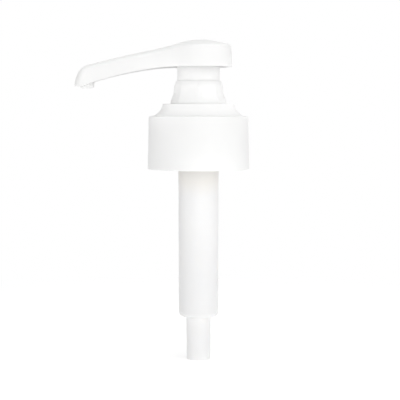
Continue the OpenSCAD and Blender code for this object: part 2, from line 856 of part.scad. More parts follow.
// Return spring, as one unbroken wire with 8 rings to the turn
module return_spring() {
    sides = 6;
    count = spring_turns * spring_rings;
    wire_r = spring_wire_d / 2;
    rise = (spring_shut_len - spring_wire_d - 2 * slide_gap) / count;
    function centre(i) = let (a = 360 * i / spring_rings)
        [spring_d / 2 * cos(a), spring_d / 2 * sin(a), z_spring + slide_gap + wire_r + rise * i];
    function around(i) = let (a = 360 * i / spring_rings, c = centre(i))
        [for (k = [0 : sides - 1]) let (b = 360 * k / sides)
            c + wire_r * [cos(a) * cos(b), sin(a) * cos(b), sin(b)]];
    gaps = [for (i = [0 : count], j = [i + spring_rings / 2 : count])
        norm(centre(j) - centre(i)) - spring_wire_d];
    echo(spring_least_gap = min(gaps));
    points = [for (i = [0 : count]) each around(i)];
    skin = [for (i = [0 : count - 1], k = [0 : sides - 1])
        let (a = sides * i + k, b = sides * i + (k + 1) % sides)
            each [[a, b + sides, b], [a, a + sides, b + sides]]];
    last = sides * count;
    ends = [for (k = [1 : sides - 2]) each [[0, k, k + 1], [last, last + k + 1, last + k]]];
    color(steel)
        polyhedron(points, concat(skin, ends));
}

pump_head();
spout_tube();
nozzle_tip();
lock_hub();
outlet_ball_retainer();
outlet_ball();
plunger_stem();
piston_core();
piston_retainer();
piston_seal();
locking_collar();
stem_guide();
stem_wiper();
outer_cap();
threaded_closure();
neck_gasket();
pump_barrel();
inlet_ball_cage();
inlet_ball();
return_spring();
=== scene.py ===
"""Finished surfaces of a lock-down syrup pump and its studio, in metres, in the frame of its solid model."""

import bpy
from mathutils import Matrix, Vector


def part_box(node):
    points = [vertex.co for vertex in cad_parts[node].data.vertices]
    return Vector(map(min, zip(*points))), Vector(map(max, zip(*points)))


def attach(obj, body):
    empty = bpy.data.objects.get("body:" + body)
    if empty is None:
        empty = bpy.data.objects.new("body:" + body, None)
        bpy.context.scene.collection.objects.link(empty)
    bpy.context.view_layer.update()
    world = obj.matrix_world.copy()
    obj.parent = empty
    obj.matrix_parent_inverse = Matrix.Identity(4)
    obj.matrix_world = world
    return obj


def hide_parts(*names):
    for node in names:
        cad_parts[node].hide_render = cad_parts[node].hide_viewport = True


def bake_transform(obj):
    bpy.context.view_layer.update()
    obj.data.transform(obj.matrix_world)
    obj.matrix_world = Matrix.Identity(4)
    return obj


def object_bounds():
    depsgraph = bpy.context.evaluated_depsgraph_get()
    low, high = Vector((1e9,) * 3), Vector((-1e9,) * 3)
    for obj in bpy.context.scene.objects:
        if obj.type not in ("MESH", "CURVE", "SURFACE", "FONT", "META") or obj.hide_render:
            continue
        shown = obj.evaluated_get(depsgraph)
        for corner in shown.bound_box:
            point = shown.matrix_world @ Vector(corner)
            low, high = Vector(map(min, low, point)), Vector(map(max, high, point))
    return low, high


bl_info = {
    "name": "Syrup Pump",
    "version": (1, 0, 0),
    "blender": (4, 5, 0),
    "location": "3D View > Sidebar > Pump",
    "description": "Models the finished surfaces of a lock-down syrup pump and its studio",
    "category": "Object",
}

import math

import bmesh
import bpy
from bpy.props import FloatProperty, FloatVectorProperty, IntProperty, PointerProperty
from mathutils import Matrix, Vector

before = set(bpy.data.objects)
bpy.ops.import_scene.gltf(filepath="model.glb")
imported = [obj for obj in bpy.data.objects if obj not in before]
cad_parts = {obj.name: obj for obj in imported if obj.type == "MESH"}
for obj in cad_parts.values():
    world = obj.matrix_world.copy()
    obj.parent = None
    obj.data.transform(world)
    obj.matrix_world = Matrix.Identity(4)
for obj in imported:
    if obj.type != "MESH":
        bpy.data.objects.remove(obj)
CAD_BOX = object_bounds()
MM = 0.001
FULL_TURN = 2 * math.pi
SPIN_STEPS = 128
WIRE_SIDES = 12
SHARP_TURN = math.radians(50)
WHITE = (1, 1, 1, 1)
RUN_GAP = 0.15 * MM
SLIDE_GAP = 0.05 * MM
PRESS_GAP = 0.02 * MM
WELD = 0.001 * MM
FOOT_GAP = 0.06 * MM
DOME_FOOT = 36.9 * MM
DOME_DROP = 0.45 * MM
TIP_DRAW_BACK = 0.8 * MM
LIP_DROP = 0.6 * MM
SHOULDER_DROP = 0.35 * MM
RIM_LIFT = 0.5 * MM
VENT_HEIGHT = -4.7 * MM
TIP_OVER = Matrix.Rotation(math.pi / 2, 3, "X")
HEAD_LOW, HEAD_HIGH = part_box("pump_head")
NOZZLE_LOW, NOZZLE_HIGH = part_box("nozzle_tip")
COLLAR_LOW, COLLAR_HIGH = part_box("locking_collar")
HUB_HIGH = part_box("lock_hub")[1]
CAP_LOW, CAP_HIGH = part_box("outer_cap")
CLOSURE_LOW, CLOSURE_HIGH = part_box("threaded_closure")
BARREL_LOW, BARREL_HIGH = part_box("pump_barrel")
SPRING_LOW, SPRING_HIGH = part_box("return_spring")
GUIDE_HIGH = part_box("stem_guide")[1]
WIPER_LOW, WIPER_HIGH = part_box("stem_wiper")


def length(name, description, default):
    """A size in metres that a user may change."""
    return FloatProperty(name=name, description=description, default=default, subtype="DISTANCE",
                         unit="LENGTH", precision=5)


def colour(name, description, default):
    """A linear colour that a user may change."""
    return FloatVectorProperty(name=name, description=description, default=default, size=3,
                               subtype="COLOR", min=0, max=1)


class PumpHeadSizes(bpy.types.PropertyGroup):
    """Sizes of the head, its spout and its nozzle."""
    radius: length("Head radius", "Radius of the domed head", HEAD_HIGH.x)
    band: length("Side band", "Height of the head's straight side", 8.95 * MM)
    dome: length("Dome", "Rise of the dome over the side band", HEAD_HIGH.z - DOME_FOOT)
    dome_bend: length("Dome bend", "Radius of the dome's curve", 32.3 * MM)
    dome_tilt: FloatProperty(name="Dome tilt", description="Slope of the dome down towards the spout",
                             default=0.035, min=0, max=0.3)
    shoulder: length("Shoulder", "Radius of the dome's edge", 2.2 * MM)
    wall: length("Wall", "Wall of the head and the spout", 1.6 * MM)
    reach: length("Reach", "From the pump's axis to the spout's tip", -HEAD_LOW.x - TIP_DRAW_BACK)
    lip: length("Lip height", "Height of the spout's lip", HEAD_LOW.z)
    root_half: length("Root half width", "Half the spout's width at its root", 10.2 * MM)
    tip_half: length("Tip half width", "Half the spout's width at its tip", 4.8 * MM)
    root_crown: length("Root crown", "Rise of the crown across the spout's root", 2.6 * MM)
    tip_crown: length("Tip crown", "Rise of the crown across the spout behind its tip", 1.7 * MM)
    tip_radius: length("Tip radius", "Radius of the spout's tip seen from the side", 11.6 * MM)
    nozzle_wall: length("Nozzle wall", "Wall of the nozzle's mouth", 1.0 * MM)
    nozzle_radius: length("Nozzle radius", "Outside radius of the nozzle", 3.1 * MM)


class PumpCapSizes(bpy.types.PropertyGroup):
    """Sizes of the outer cap, the threaded closure and the locking collar."""
    cap_top: length("Cap top radius", "Radius of the outer cap at its top", 21.65 * MM)
    cap_bore: length("Cap bore radius", "Radius of the outer cap's bore", 20.2 * MM)
    cap_plate: length("Cap plate", "Thickness of the outer cap's top", 1.6 * MM)
    shoulder_foot: length("Shoulder foot radius", "Radius of the closure's shoulder at its foot", 18.8 * MM)
    shoulder_top: length("Shoulder top radius", "Radius of the closure's flat top", 15.5 * MM)
    shoulder_bend: length("Shoulder bend", "Radius of the shoulder's hollow flare", 7 * MM)
    thread_root: length("Thread root radius", "Radius at the root of the neck thread", 18.95 * MM)
    thread_height: length("Thread height", "Height of the neck thread", 1.05 * MM)
    thread_pitch: length("Thread pitch", "Pitch of the neck thread", 4.23 * MM)
    collar_neck: length("Collar neck radius", "Radius of the collar below its chamfer", 10.35 * MM)
    collar_bend: length("Collar bend", "Radius of the collar's hollow flare", 14 * MM)
    rib_count: IntProperty(name="Ribs", description="Grip ribs round the collar", default=8, min=2, max=32)
    rib_proud: length("Rib height", "Height of a grip rib over the collar", 0.32 * MM)


class PumpBarrelSizes(bpy.types.PropertyGroup):
    """Sizes of the barrel and the return spring."""
    bore: length("Bore radius", "Radius of the bore that the piston runs in", 7.8 * MM)
    top: length("Top radius", "Outside radius of the barrel under the cap", 8.8 * MM)
    low: length("Low radius", "Outside radius of the barrel above its bottom", 8.6 * MM)
    bottom: length("Bottom height", "Height of the barrel's bottom", -81.2 * MM)
    floor: length("Floor", "Thickness of the barrel's floor", 1.5 * MM)
    edge: length("Bottom edge", "Radius of the barrel's bottom edge", 2.2 * MM)
    socket_root: length("Socket root radius", "Outside radius of the dip tube socket's root", 5.4 * MM)
    socket_mouth: length("Socket mouth radius", "Outside radius of the dip tube socket's mouth", 5.15 * MM)
    socket_bore: length("Socket bore radius", "Radius of the dip tube socket's bore", 4 * MM)
    vent: length("Vent radius", "Radius of the vent hole under the cap", 0.8 * MM)
    wire: length("Wire", "Diameter of the spring's wire", 0.9 * MM)
    coils: IntProperty(name="Coils", description="Open coils of the spring", default=6, min=2, max=20)


class PumpFinishes(bpy.types.PropertyGroup):
    """Colours of the pump's materials."""
    white: colour("White moulding", "Head, collar, closure and cap", (0.915, 0.915, 0.91))
    milky: colour("Milky moulding", "Barrel and dip tube socket", (0.955, 0.948, 0.94))
    natural: colour("Natural moulding", "Stem, piston, guide and valve cages", (0.80, 0.79, 0.75))
    rubber: colour("Elastomer", "Seals, wiper and gasket", (0.56, 0.55, 0.52))
    steel: colour("Stainless steel", "Spring and balls", (0.62, 0.63, 0.64))


class PumpStudio(bpy.types.PropertyGroup):
    """Camera and light of the studio."""
    distance: length("Camera distance", "From the pump's axis to the camera", 568 * MM)
    eye: length("Eye height", "Height of the camera", 8.3 * MM)
    aim_side: length("Aim side", "Sideways place of the point aimed at", 0.66 * MM)
    aim_height: length("Aim height", "Height of the point aimed at", -30 * MM)
    lens: FloatProperty(name="Lens", description="Focal length in millimetres", default=117.1,
                        min=20, max=300)
    ambient: FloatProperty(name="Ambient", description="Strength of the even light", default=0.38,
                           min=0, max=5)
    key: FloatProperty(name="Key", description="Power of the key lamp in watts", default=7.3,
                       min=0, max=100)
    top: FloatProperty(name="Top", description="Power of the lamp overhead in watts", default=2.7,
                       min=0, max=100)
    side: FloatProperty(name="Side", description="Power of the right lamp in watts", default=1.3,
                        min=0, max=100)
    fill: FloatProperty(name="Fill", description="Power of the left lamp in watts", default=1.1,
                        min=0, max=100)
    spot: FloatProperty(name="Spot", description="Power of the left spot lamp, which scales the others",
                        default=2.8, min=0, max=100)


# Mesh helpers


def arc(centre, radius, start, end, steps):
    """Points of an arc in a profile of radius and height, angles in degrees."""
    turns = [math.radians(start + (end - start) * i / steps) for i in range(steps + 1)]
    return [(centre[0] + radius * math.cos(a), centre[1] + radius * math.sin(a)) for a in turns]


def hollow_arc(low, high, radius, steps):
    """Points from low to high on an arc that bulges towards the axis."""
    a, b = Vector(low), Vector(high)
    along = (b - a).normalized()
    outward = Vector((along.y, -along.x))
    half = (b - a).length / 2
    centre = (a + b) / 2 + outward * math.sqrt(radius ** 2 - half ** 2)
    start = math.atan2(a.y - centre.y, a.x - centre.x)
    end = math.atan2(b.y - centre.y, b.x - centre.x)
    if end > start:
        start += FULL_TURN
    return arc(centre, radius, math.degrees(start), math.degrees(end), steps)


def spin_profile(bm, profile, steps=SPIN_STEPS, centre=(0, 0, 0)):
    """Turns a closed profile of (radius, height) points round an upright axis, and returns its vertices."""
    old = set(bm.verts)
    origin = Vector(centre)
    verts = [bm.verts.new(origin + Vector((r, 0, z))) for r, z in profile]
    edges = [bm.edges.new(pair) for pair in zip(verts, verts[1:] + verts[:1])]
    bmesh.ops.spin(bm, geom=verts + edges, cent=origin, axis=(0, 0, 1), angle=FULL_TURN, steps=steps,
                   use_merge=True)
    bmesh.ops.recalc_face_normals(bm, faces=bm.faces)
    return [v for v in bm.verts if v not in old]


def round_edges(bm, offset, least=28, segments=3, keep=None):
    """Rounds the edges that turn by more than an angle in degrees, and of those only what a test keeps."""
    sharp = [e for e in bm.edges
             if e.is_manifold and e.calc_face_angle() > math.radians(least) and (keep is None or keep(e))]
    bmesh.ops.bevel(bm, geom=sharp, offset=offset, offset_type="OFFSET", segments=segments, profile=0.5,
                    affect="EDGES", material=-1, clamp_overlap=True)
    bmesh.ops.remove_doubles(bm, verts=bm.verts, dist=WELD)


def new_piece(name, bm, material, body=None, weighted=True):
    """Makes a smooth-shaded piece from a bmesh, and lets it ride on a body."""
    mesh = bpy.data.meshes.new(name)
    bm.to_mesh(mesh)
    bm.free()
    for face in mesh.polygons:
        face.use_smooth = True
    mesh.materials.append(material)
    piece = bpy.data.objects.new(name, mesh)
    bpy.context.scene.collection.objects.link(piece)
    if weighted:
        even_shading(piece)
    if body:
        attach(piece, body)
    return piece


def even_shading(piece):
    """Shades rounded forms evenly and leaves corners sharp."""
    piece.data.set_sharp_from_angle(angle=SHARP_TURN)
    piece.modifiers.new("Even shading", "WEIGHTED_NORMAL").keep_sharp = True


def stand_for(node):
    """Hides the node of the solid model that the piece takes the place of."""
    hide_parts(node)


def apply_modifiers(piece):
    """Makes the piece's modifiers part of its mesh."""
    graph = bpy.context.evaluated_depsgraph_get()
    mesh = bpy.data.meshes.new_from_object(piece.evaluated_get(graph))
    piece.modifiers.clear()
    piece.data = mesh


# Materials


NOISE_MIDDLE = (0.3, 0.7)
GLOSS_SPREAD = 0.05
CLOUD_SCALE = 70
GLOSS_SCALE = 260
SKIN_STRENGTH = 0.35
# Painted warm shade on the barrel just under the cap.
CAP_SHADE_TONE = (1, 0.975, 0.935)
# Painted shade of the piston seen through the barrel's lower wall, which stays put when the plunger rises.
PISTON_SHADE_TONE = (0.98, 0.982, 0.985)
CAP_SHADE_HEIGHTS = (-20 * MM, -30 * MM)
PISTON_SHADE_HEIGHTS = (-62 * MM, -57 * MM)


def shader(name):
    """A new node material, with its node tree and its main shader."""
    material = bpy.data.materials.new(name)
    material.use_nodes = True
    tree = material.node_tree
    return material, tree, tree.nodes["Principled BSDF"]


def grain(tree, scale, detail=2.0):
    """Noise on the piece's own coordinates, scale in cells to the metre."""
    place = tree.nodes.new("ShaderNodeTexCoord")
    noise = tree.nodes.new("ShaderNodeTexNoise")
    noise.inputs["Scale"].default_value = scale
    noise.inputs["Detail"].default_value = detail
    tree.links.new(place.outputs["Object"], noise.inputs["Vector"])
    return noise.outputs["Fac"]


def tint(tree, value, low, high):
    """Turns a value into a colour between two."""
    mix = tree.nodes.new("ShaderNodeMix")
    mix.data_type = "RGBA"
    mix.inputs["A"].default_value = (*low, 1)
    mix.inputs["B"].default_value = (*high, 1)
    tree.links.new(value, mix.inputs["Factor"])
    return mix.outputs["Result"]


def span(tree, value, low, high):
    """Spreads the middle of a noise over a range of numbers."""
    node = tree.nodes.new("ShaderNodeMapRange")
    node.inputs["From Min"].default_value = NOISE_MIDDLE[0]
    node.inputs["From Max"].default_value = NOISE_MIDDLE[1]
    node.inputs["To Min"].default_value = low
    node.inputs["To Max"].default_value = high
    tree.links.new(value, node.inputs["Value"])
    return node.outputs["Result"]


def paint_shade_by_height(tree, full, none, colour_in, tone):
    """Multiplies a colour by a painted shade tone that fades from full strength at one height to none at
    another.
    """
    place = tree.nodes.new("ShaderNodeTexCoord")
    axes = tree.nodes.new("ShaderNodeSeparateXYZ")
    tree.links.new(place.outputs["Object"], axes.inputs[0])
    share = tree.nodes.new("ShaderNodeMapRange")
    share.interpolation_type = "SMOOTHSTEP"
    share.inputs["From Min"].default_value = none
    share.inputs["From Max"].default_value = full
    tree.links.new(axes.outputs["Z"], share.inputs["Value"])
    mix = tree.nodes.new("ShaderNodeMix")
    mix.data_type = "RGBA"
    mix.blend_type = "MULTIPLY"
    mix.inputs["B"].default_value = (*tone, 1)
    tree.links.new(share.outputs["Result"], mix.inputs["Factor"])
    tree.links.new(colour_in, mix.inputs["A"])
    return mix.outputs["Result"]


def bump(tree, value, depth, strength):
    """Relief of a given depth in metres."""
    node = tree.nodes.new("ShaderNodeBump")
    node.inputs["Distance"].default_value = depth
    node.inputs["Strength"].default_value = strength
    tree.links.new(value, node.inputs["Height"])
    return node.outputs["Normal"]


def plastic(name, base, roughness, depth, cloud=0.03, grain_scale=1800):
    """Moulded plastic with a faint cloudiness, uneven gloss and a fine skin."""
    material, tree, main = shader(name)
    pale = tuple(min(1, c * (1 + cloud / 2)) for c in base)
    dull = tuple(c * (1 - cloud / 2) for c in base)
    tree.links.new(tint(tree, grain(tree, CLOUD_SCALE), dull, pale), main.inputs["Base Color"])
    gloss = span(tree, grain(tree, GLOSS_SCALE), roughness - GLOSS_SPREAD, roughness + GLOSS_SPREAD)
    tree.links.new(gloss, main.inputs["Roughness"])
    skin = bump(tree, grain(tree, grain_scale, detail=3), depth, SKIN_STRENGTH)
    tree.links.new(skin, main.inputs["Normal"])
    return material, main


def white_moulding(finishes):
    """Satin white plastic of the head, the collar, the closure and the cap."""
    material, main = plastic("finished_white_moulding", finishes.white, 0.5, 0.012 * MM)
    main.inputs["Specular IOR Level"].default_value = 0.2
    main.inputs["Subsurface Weight"].default_value = 0.1
    main.inputs["Subsurface Radius"].default_value = (1, 1, 1)
    main.inputs["Subsurface Scale"].default_value = 1 * MM
    return material


def barrel_moulding(finishes):
    """Milky plastic of the barrel, which lets some light through, with painted warm shade under the cap and
    painted shade of the piston inside, greyer low down.
    """
    material, main = plastic("finished_barrel_moulding", finishes.milky, 0.5, 0.01 * MM)
    tree = material.node_tree
    cloudy = main.inputs["Base Color"].links[0].from_socket
    # Painted warm shade under the cap, then painted shade of the piston inside, lower down.
    cap_shaded = paint_shade_by_height(tree, *CAP_SHADE_HEIGHTS, cloudy, CAP_SHADE_TONE)
    piston_shaded = paint_shade_by_height(tree, *PISTON_SHADE_HEIGHTS, cap_shaded, PISTON_SHADE_TONE)
    tree.links.new(piston_shaded, main.inputs["Base Color"])
    main.inputs["Transmission Weight"].default_value = 0.05
    main.inputs["IOR"].default_value = 1.49
    main.inputs["Specular IOR Level"].default_value = 0.2
    main.inputs["Subsurface Weight"].default_value = 0.35
    main.inputs["Subsurface Radius"].default_value = (1, 0.95, 0.88)
    main.inputs["Subsurface Scale"].default_value = 2 * MM
    return material


def inner_moulding(finishes):
    """Natural plastic of the working parts."""
    material, main = plastic("finished_inner_moulding", finishes.natural, 0.38, 0.008 * MM)
    main.inputs["Subsurface Weight"].default_value = 0.2
    main.inputs["Subsurface Radius"].default_value = (1, 0.95, 0.85)
    main.inputs["Subsurface Scale"].default_value = 1.5 * MM
    return material


def seal_elastomer(finishes):
    """Soft grey elastomer with a dull skin."""
    material, main = plastic("finished_seal_elastomer", finishes.rubber, 0.62, 0.02 * MM, cloud=0.08,
                             grain_scale=2600)
    main.inputs["Specular IOR Level"].default_value = 0.35
    return material


def stainless_steel(finishes):
    """Drawn steel with fine uneven polish."""
    material, tree, main = shader("finished_stainless_steel")
    dull = tuple(c * 0.9 for c in finishes.steel)
    tree.links.new(tint(tree, grain(tree, 900), dull, tuple(finishes.steel)), main.inputs["Base Color"])
    tree.links.new(span(tree, grain(tree, 2400, 4), 0.2, 0.36), main.inputs["Roughness"])
    tree.links.new(bump(tree, grain(tree, 5000), 0.004 * MM, 0.3), main.inputs["Normal"])
    main.inputs["Metallic"].default_value = 1
    return material


MATERIALS = {
    "white_moulding": white_moulding,
    "barrel_moulding": barrel_moulding,
    "inner_moulding": inner_moulding,
    "seal_elastomer": seal_elastomer,
    "stainless_steel": stainless_steel,
}


def finish_of(slot):
    """The material of a slot, made at its first use."""
    return bpy.data.materials.get("finished_" + slot) or MATERIALS[slot](bpy.context.scene.pump_finishes)


def dress(slot, *nodes):
    """Gives nodes of the solid model a finish."""
    for name in nodes:
        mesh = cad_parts[name].data
        mesh.materials.clear()
        mesh.materials.append(finish_of(slot))


# Head


HEAD_SIDES = 32
SPOUT_SIDES = 10
SPOUT_ROOT = -12.5 * MM
ROOT_DROP = 3.4 * MM
TOP_FALL = 8.2 * MM
TOP_BACK = 5.4 * MM
TOP_BOW = 0.4 * MM
FOOT_FALL = 6.3 * MM
FOOT_BACK = 9.3 * MM
FOOT_BOW = 0.9 * MM
LIP_BACK = 3.9 * MM
CORNER_DROP = 1.45 * MM
DOME_SHARES = (0, 0.26, 0.52, 0.76)
SPOUT_STATIONS = (0.1, 0.28, 0.5, 0.72, 0.92)
NOSE_STATIONS = (0.15, 0.42, 0.7, 1.0)
SIDE_SHARES = (0, 0.13, 0.26, 0.38, 0.46, 0.54, 0.63, 0.71, 0.79, 0.86, 0.93, 1)


def head_profile(sizes):
    """Half profile of the dome and the side band, from the top down."""
    top = HEAD_HIGH.z - DOME_DROP
    edge = HEAD_HIGH.z - sizes.dome
    low = edge - sizes.band
    r = sizes.radius
    bend = sizes.dome_bend
    dome = [(s * r, top - bend + math.sqrt(bend ** 2 - (s * r) ** 2)) for s in DOME_SHARES]
    corner = arc((r - sizes.shoulder, edge - CORNER_DROP), sizes.shoulder, 74, 12, 2)
    return dome + corner + [(r, low + 0.6 * sizes.band), (r, low + 0.3 * sizes.band), (r, low)]


def along_bow(a, b, rise, share):
    """A point on a shallow bow from a to b, seen from the side."""
    return a.lerp(b, share) + Vector((0, 4 * rise * share * (1 - share)))


def spout_sections(sizes):
    """The spout's sections, each as its foot, its top, its half width and its crown, seen from the side."""
    low = HEAD_HIGH.z - sizes.dome - sizes.band
    top_root = Vector((SPOUT_ROOT, HEAD_HIGH.z - ROOT_DROP))
    top_end = Vector((-sizes.reach + TOP_BACK, top_root.y - TOP_FALL))
    foot_root = Vector((SPOUT_ROOT, low))
    foot_end = Vector((-sizes.reach + FOOT_BACK, low - FOOT_FALL))
    lip_end = Vector((-sizes.reach + LIP_BACK, sizes.lip))
    nose = Vector((-sizes.reach + sizes.tip_radius, sizes.lip))
    first = math.asin((nose.x - top_end.x) / sizes.tip_radius)
    for share in SPOUT_STATIONS:
        yield (along_bow(foot_root, foot_end, FOOT_BOW, share), along_bow(top_root, top_end, TOP_BOW, share),
               sizes.root_half + (sizes.tip_half - sizes.root_half) * share,
               sizes.root_crown + (sizes.tip_crown - sizes.root_crown) * share)
    for share in NOSE_STATIONS:
        angle = first + (math.pi / 2 - first) * share
        top = nose + sizes.tip_radius * Vector((-math.sin(angle), math.cos(angle)))
        crown = sizes.tip_crown + (sizes.tip_half - sizes.tip_crown) * share ** 1.5
        foot = foot_end.lerp(lip_end, share)
        yield foot, top, sizes.tip_half, min(crown, 0.9 * (top - foot).length)


def spread(line, shares):
    """Points at given shares of a line's length."""
    steps = [(b - a).length for a, b in zip(line, line[1:])]
    points = []
    for share in shares:
        left = share * sum(steps)
        for a, b, step in zip(line, line[1:], steps):
            if left <= step * 1.000001:
                points.append(a.lerp(b, left / step))
                break
            left -= step
    return points


def section_points(foot, top, half, crown):
    """Points of one section, an arch on two straight legs, from its left foot over the top to its right."""
    up = top - foot
    leg = up.length - crown
    up.normalize()
    arch = [Vector((half * math.cos(a), leg + crown * math.sin(a)))
            for a in map(math.radians, range(0, 91, 3))]
    side = spread([Vector((half, 0)), *arch], SIDE_SHARES)
    whole = side + [Vector((-point.x, point.y)) for point in reversed(side[:-1])]
    return [Vector((foot.x + up.x * point.y, point.x, foot.y + up.y * point.y)) for point in whole]


def spout_mouth(bm, ring):
    """Opens the head where the spout leaves it, and returns the opening's vertices in order."""
    half_angle = math.pi * SPOUT_SIDES / HEAD_SIDES

    def from_spout(point):
        return abs(math.atan2(point.y, -point.x))

    opened = [f for f in bm.faces
              if from_spout(f.calc_center_median()) < half_angle and f.calc_center_median().xy.length > ring]
    bmesh.ops.delete(bm, geom=opened, context="FACES")
    edges = [e for e in bm.edges
             if e.is_boundary and all(from_spout(v.co) < half_angle + 0.01 for v in e.verts)]
    verts = {v for e in edges for v in e.verts}
    start = min(verts, key=lambda v: (round(v.co.z, 5), -v.co.y))
    chain = [start]
    while len(chain) < len(verts):
        chain.append(next(e.other_vert(chain[-1]) for e in edges
                          if chain[-1] in e.verts and e.other_vert(chain[-1]) not in chain))
    return chain


def draw_out(bm, chain, points):
    """Extrudes a chain of vertices to new points, and returns the new chain."""
    edges = [bm.edges.get(pair) for pair in zip(chain, chain[1:])]
    made = bmesh.ops.extrude_edge_only(bm, edges=edges)
    fresh = {g for g in made["geom"] if isinstance(g, bmesh.types.BMVert)}
    new_chain = [next(e.other_vert(v) for e in v.link_edges if e.other_vert(v) in fresh) for v in chain]
    for vert, point in zip(new_chain, points):
        vert.co = point
    return new_chain


def head_shell(sizes):
    """Cage of the head and the spout, open below."""
    bm = bmesh.new()
    # Smoothing draws a ring of points in, so the cage is wider by the same share.
    swell = 3 / (2 + math.cos(FULL_TURN / HEAD_SIDES))
    profile = [(r * swell, z) for r, z in head_profile(sizes)]
    verts = [bm.verts.new((r, 0, z)) for r, z in profile]
    edges = [bm.edges.new(pair) for pair in zip(verts, verts[1:])]
    bmesh.ops.spin(bm, geom=verts + edges, cent=(0, 0, 0), axis=(0, 0, 1), angle=FULL_TURN,
                   steps=HEAD_SIDES, use_merge=True)
    bmesh.ops.remove_doubles(bm, verts=bm.verts, dist=0.01 * MM)
    # The dome slopes down towards the spout, and the side band stays level.
    for vert in bm.verts:
        over = (vert.co.z - HEAD_HIGH.z + sizes.dome) / sizes.shoulder + 0.7
        vert.co.z += sizes.dome_tilt * vert.co.x * max(0, min(1, over))
    chain = spout_mouth(bm, profile[3][0])
    for section in spout_sections(sizes):
        chain = draw_out(bm, chain, section_points(*section))
    bmesh.ops.recalc_face_normals(bm, faces=bm.faces)
    if max(bm.faces, key=lambda f: f.calc_center_median().z).normal.z < 0:
        bmesh.ops.reverse_faces(bm, faces=bm.faces)
    return bm


class PUMP_OT_head(bpy.types.Operator):
    """Model the domed head with its spout"""
    bl_idname = "pump.head"
    bl_label = "Head and spout"

    def execute(self, context):
        sizes = context.scene.pump_head
        piece = new_piece("head_shell", head_shell(sizes), finish_of("white_moulding"), weighted=False)
        fine = piece.modifiers.new("Smooth form", "SUBSURF")
        fine.levels = fine.render_levels = 3
        wall = piece.modifiers.new("Wall", "SOLIDIFY")
        wall.thickness = sizes.wall
        wall.offset = -1
        wall.use_even_offset = True
        edge = piece.modifiers.new("Rim", "BEVEL")
        edge.width = 0.3 * MM
        edge.segments = 2
        edge.limit_method = "ANGLE"
        edge.angle_limit = SHARP_TURN
        apply_modifiers(piece)
        self.add_socket(piece, sizes)
        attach(piece, "head")
        stand_for("pump_head")
        return {"FINISHED"}

    def add_socket(self, piece, sizes):
        """Adds the ring inside the head that holds the hub's boss, open towards the spout."""
        bm = bmesh.new()
        bm.from_mesh(piece.data)
        inner = 7.05 * MM
        outer = inner + 1.4 * MM
        depth = 6.6 * MM
        roof = 2.2 * MM
        slot_half = 2.7 * MM
        slot_at = 7.7 * MM
        low = HUB_HIGH.z - depth
        high = HEAD_HIGH.z - roof
        corners = [(inner, low), (outer, low), (outer, high), (inner, high)]
        gap = math.asin(slot_half / slot_at)
        start = Vector((-math.cos(gap), math.sin(gap), 0))
        face = bm.faces.new([bm.verts.new(start * r + Vector((0, 0, z))) for r, z in corners])
        made = bmesh.ops.spin(bm, geom=[face, *face.edges, *face.verts], cent=(0, 0, 0), axis=(0, 0, 1),
                              angle=-(FULL_TURN - 2 * gap), steps=96)
        ends = [g for g in made["geom_last"] if isinstance(g, bmesh.types.BMVert)]
        new = {f for v in (*face.verts, *ends) for f in v.link_faces}
        rest = set(new)
        while rest:
            rest = {n for f in rest for e in f.edges for n in e.link_faces} - new
            new |= rest
        bmesh.ops.recalc_face_normals(bm, faces=list(new))
        for f in new:
            f.smooth = abs(f.normal.z) < 0.5
        bm.to_mesh(piece.data)
        bm.free()


class PUMP_OT_nozzle(bpy.types.Operator):
    """Model the round nozzle below the spout's lip"""
    bl_idname = "pump.nozzle"
    bl_label = "Nozzle"

    def execute(self, context):
        sizes = context.scene.pump_head
        centre = (NOZZLE_LOW + NOZZLE_HIGH) / 2
        solid_r = (NOZZLE_HIGH.x - NOZZLE_LOW.x) / 2
        seat_wall = 0.28 * MM
        seat = solid_r - seat_wall
        bore = solid_r - sizes.nozzle_wall
        r = sizes.nozzle_radius
        low = NOZZLE_LOW.z
        bend = 1.1 * MM
        bm = bmesh.new()
        spin_profile(bm, [(bore, low)] + arc((r - bend, low + bend), bend, -90, 0, 6)
                     + [(r, NOZZLE_HIGH.z), (seat, NOZZLE_HIGH.z), (seat, centre.z), (bore, centre.z)],
                     steps=64, centre=(centre.x, centre.y, 0))
        round_edges(bm, 0.12 * MM, least=50)
        piece = new_piece("nozzle_mouth", bm, finish_of("white_moulding"), "head")
        stand_for("nozzle_tip")
        return {"FINISHED"}


# Collar, closure and cap


